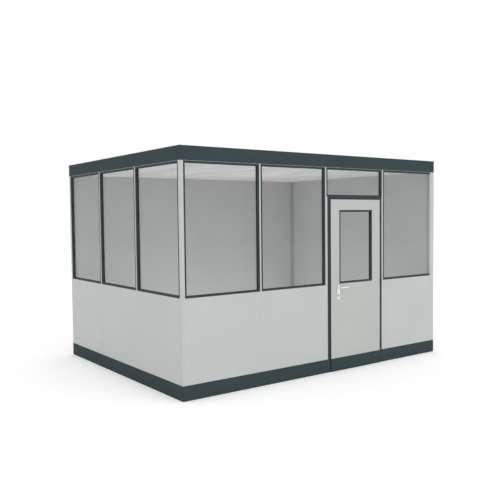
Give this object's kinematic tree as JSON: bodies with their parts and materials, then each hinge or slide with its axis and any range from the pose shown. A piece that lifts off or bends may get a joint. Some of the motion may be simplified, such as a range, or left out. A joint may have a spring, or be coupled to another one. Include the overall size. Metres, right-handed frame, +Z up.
{
  "type": "in-plant office",
  "caption": "Flat-topped indoor office room with a band of fixed windows, a hinged glazed door with a lever handle, dark skirting and dark fascia.",
  "frame": {"origin": "middle of the object's box, on the floor", "axes": "+X along the front wall to the right as seen from outside, +Y from the front wall into the room, +Z up"},
  "size_m": [4.077, 3.1306, 2.667],
  "materials": {
    "light_grey_paint": "satin light grey powder coat",
    "anthracite_paint": "satin anthracite powder coat",
    "window_glass": "clear float glass",
    "ceiling_white": "matt white coated ceiling panel",
    "handle_aluminium": "silver anodised, satin",
    "plain_steel": "brushed"
  },
  "bodies": {
    "office": {"front_left_post": "light_grey_paint", "front_right_post": "light_grey_paint", "rear_left_post": "light_grey_paint", "rear_right_post": "light_grey_paint", "ceiling_post": "light_grey_paint", "front_mullion": "light_grey_paint", "door_post_left": "light_grey_paint", "door_post_right": "light_grey_paint", "left_mullions": "light_grey_paint", "rear_mullions": "light_grey_paint", "right_mullions": "light_grey_paint", "front_head_rail": "light_grey_paint", "left_head_rail": "light_grey_paint", "front_panels": "light_grey_paint", "left_panels": "light_grey_paint", "rear_panels": "light_grey_paint", "right_panels": "light_grey_paint", "front_end_jamb": "light_grey_paint", "front_skirting_left": "anthracite_paint", "front_skirting_right": "anthracite_paint", "left_skirting": "anthracite_paint", "rear_skirting": "anthracite_paint", "right_skirting": "anthracite_paint", "front_window_frames": "anthracite_paint", "transom_frame": "anthracite_paint", "left_window_frames": "anthracite_paint", "front_fascia": "anthracite_paint", "left_fascia": "anthracite_paint", "rear_fascia": "anthracite_paint", "right_fascia": "anthracite_paint", "door_frame": "anthracite_paint", "hinge_frame_halves": "anthracite_paint", "front_glass": "window_glass", "left_glass": "window_glass", "ceiling_panels": "ceiling_white", "strike_plate": "plain_steel"},
    "door": {"hinge_leaf_halves": "anthracite_paint", "door_leaf": "light_grey_paint", "door_window_frame": "anthracite_paint", "door_glass": "window_glass", "kick_plates": "anthracite_paint", "lock_faceplate": "plain_steel", "handle_plates": "handle_aluminium", "lock_cylinder": "plain_steel"},
    "lever": {"lever_handle": "handle_aluminium"}
  },
  "joints": [
    {"name": "door_hinge", "type": "hinge", "parent": "office", "child": "door", "pos_m": [0.94, -1.50925, 0.247], "axis": [0, 0, 1], "range_deg": [0, 110]},
    {"name": "lever_turn", "type": "hinge", "parent": "door", "child": "lever", "pos_m": [0.184, -1.50625, 1.037], "axis": [0, 1, 0], "range_deg": [0, 40], "stiffness_Nm_per_rad": 1.2, "springref_deg": -20.05}
  ]
}
